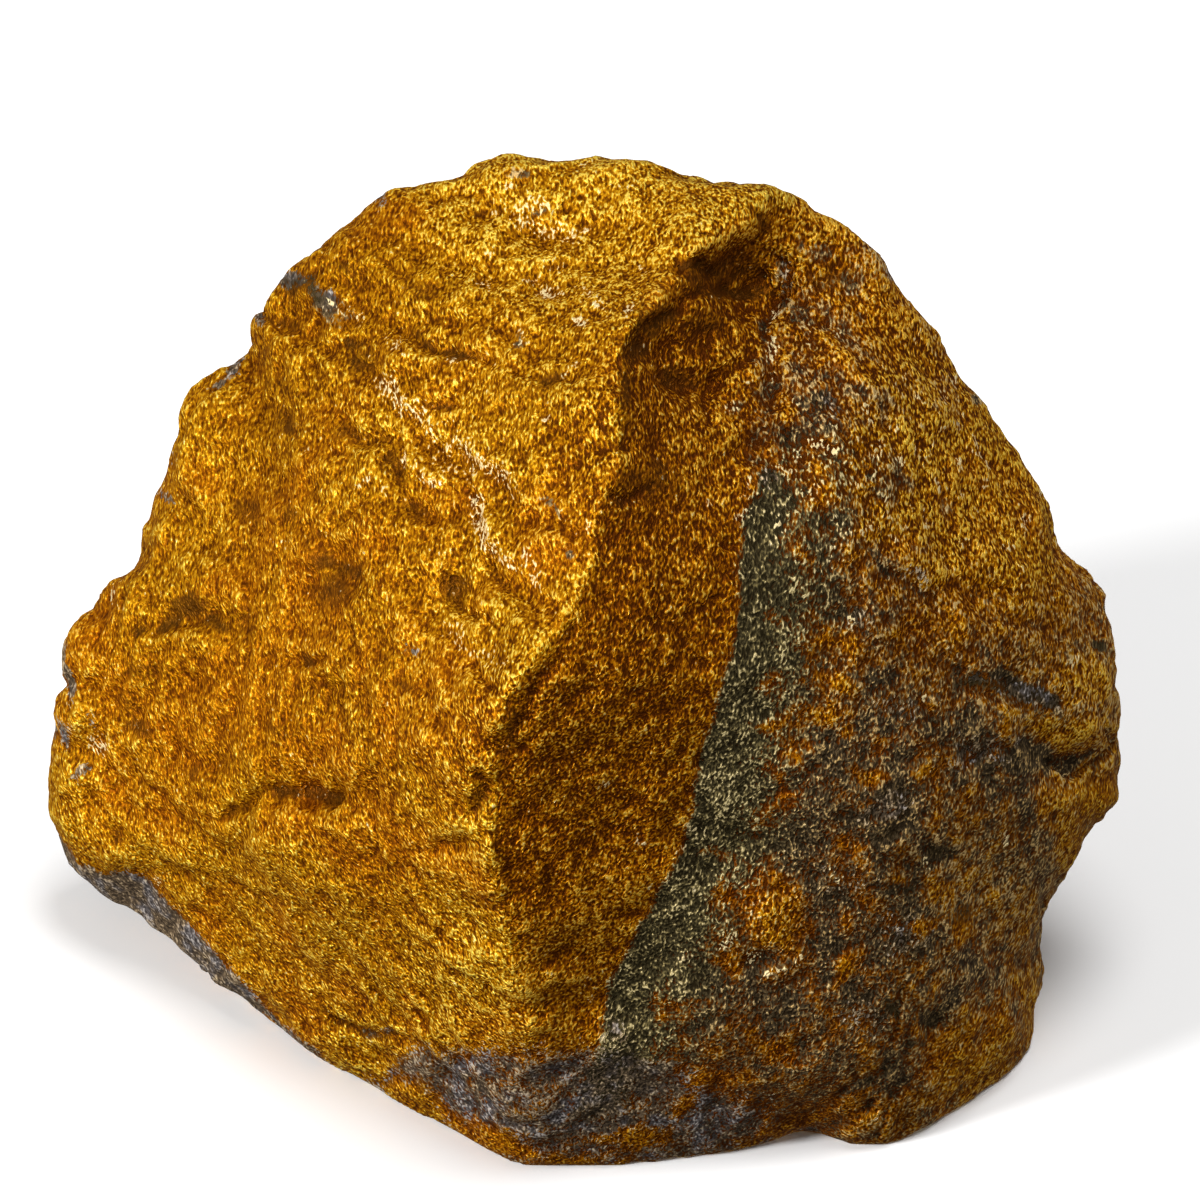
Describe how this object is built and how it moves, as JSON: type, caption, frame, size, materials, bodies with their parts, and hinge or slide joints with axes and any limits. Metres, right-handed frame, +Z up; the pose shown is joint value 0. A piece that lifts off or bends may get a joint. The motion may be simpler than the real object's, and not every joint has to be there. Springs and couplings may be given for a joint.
{
  "type": "rough bronzite",
  "caption": "Rough lump of bronzite, a bronze-brown pyroxene rock with gold-glinting, grey-green patched faces and a sharp ridge, that rests on a flat break face.",
  "frame": {"origin": "under the middle of the stone's box, on the surface it rests on", "axes": "+Z up, +X to the stone's right along its longest extent, -Y towards the viewer of its main face"},
  "size_m": [0.0536, 0.0428, 0.0402],
  "materials": {
    "bronzite": "granular broken rock, gold-brown with grey-green and blue-grey patches and a bronze glint"
  },
  "bodies": {
    "root": {"bronzite_stone": "bronzite"}
  },
  "joints": []
}
